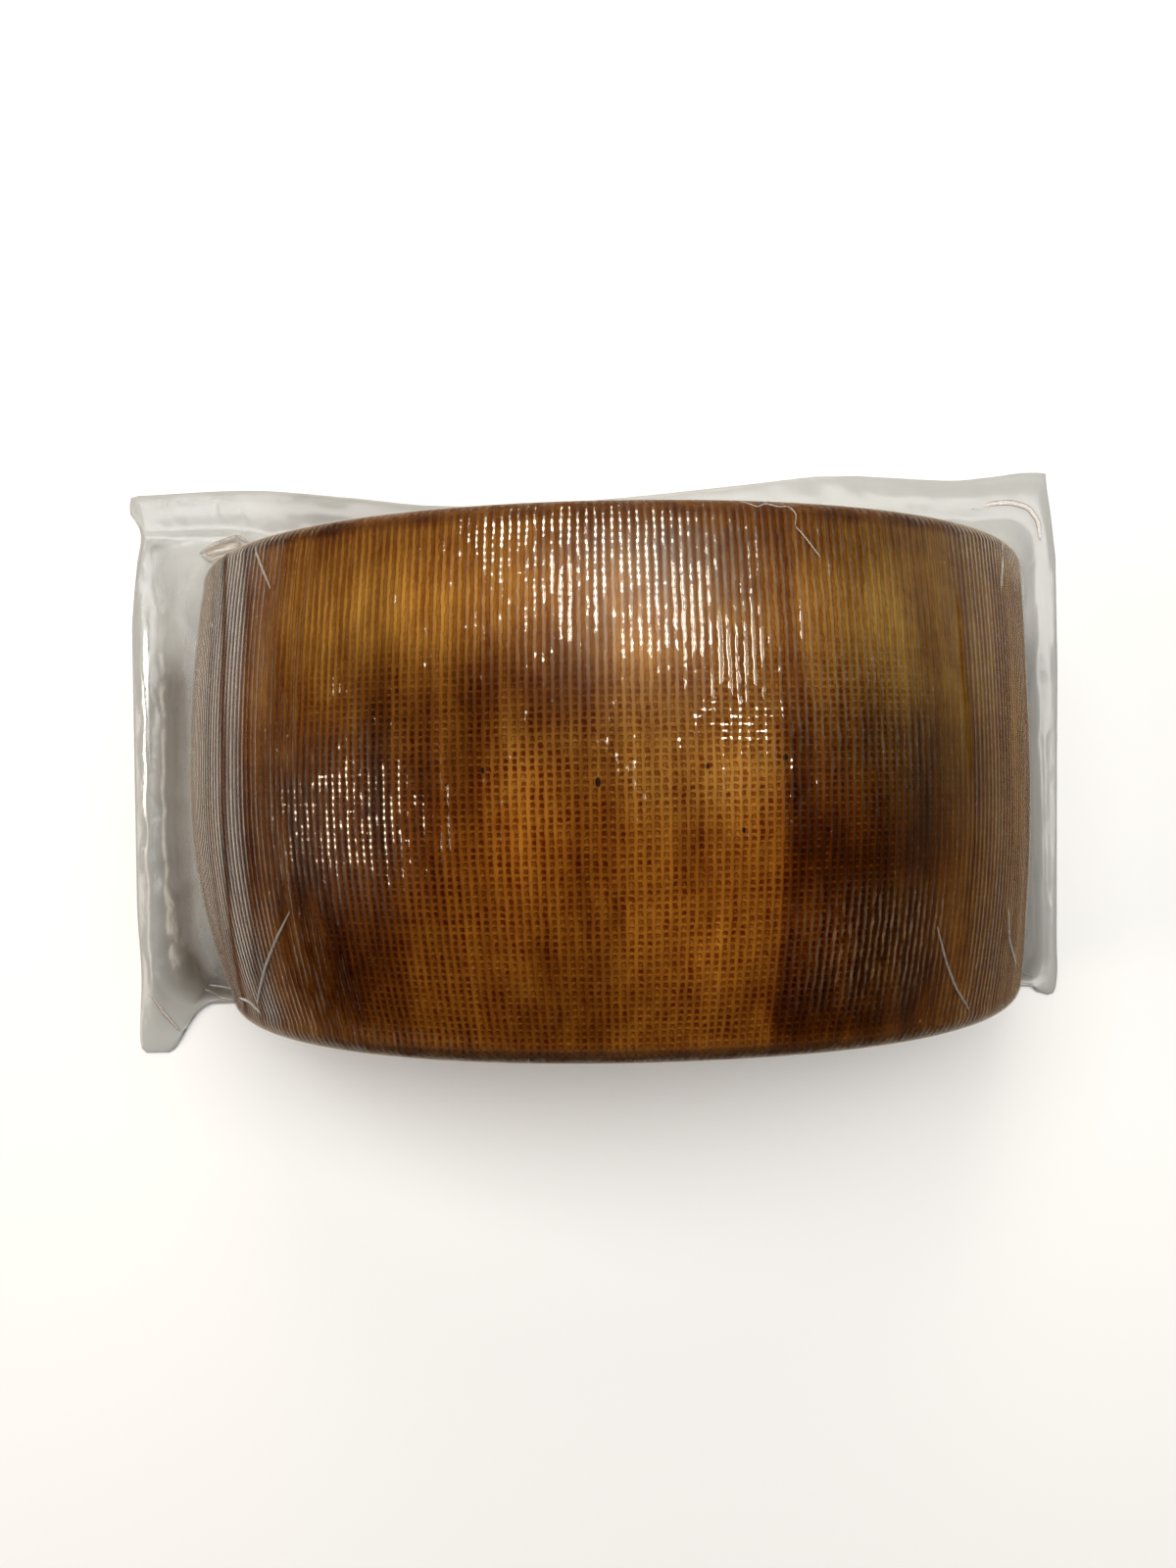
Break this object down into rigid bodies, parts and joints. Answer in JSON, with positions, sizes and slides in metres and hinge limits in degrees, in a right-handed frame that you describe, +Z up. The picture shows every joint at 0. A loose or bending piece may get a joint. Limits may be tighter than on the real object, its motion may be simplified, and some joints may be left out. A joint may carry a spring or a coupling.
{
  "type": "half wheel of aged sheep cheese in a vacuum bag",
  "caption": "Half wheel of hard aged sheep cheese with a ribbed brown rind, cut face down, vacuum-packed in a clear bag with a flat border.",
  "frame": {"origin": "Centre of the wheel's cut face dropped on to the bag's flat underside, so z is 0 on the surface that the pack lies on.", "axes": "+X across the half wheel along the cut, +Y along the wheel's axis towards the upper rim, +Z up out of the cut face towards the rind's crown."},
  "size_m": [0.2358, 0.144, 0.0993],
  "materials": {
    "rind": "brown oiled rind with fine ribs, seen through clinging film",
    "film": "clear glossy vacuum film, milky where two layers lie together"
  },
  "bodies": {
    "root": {"cheese": "rind", "bag": "film"}
  },
  "joints": []
}
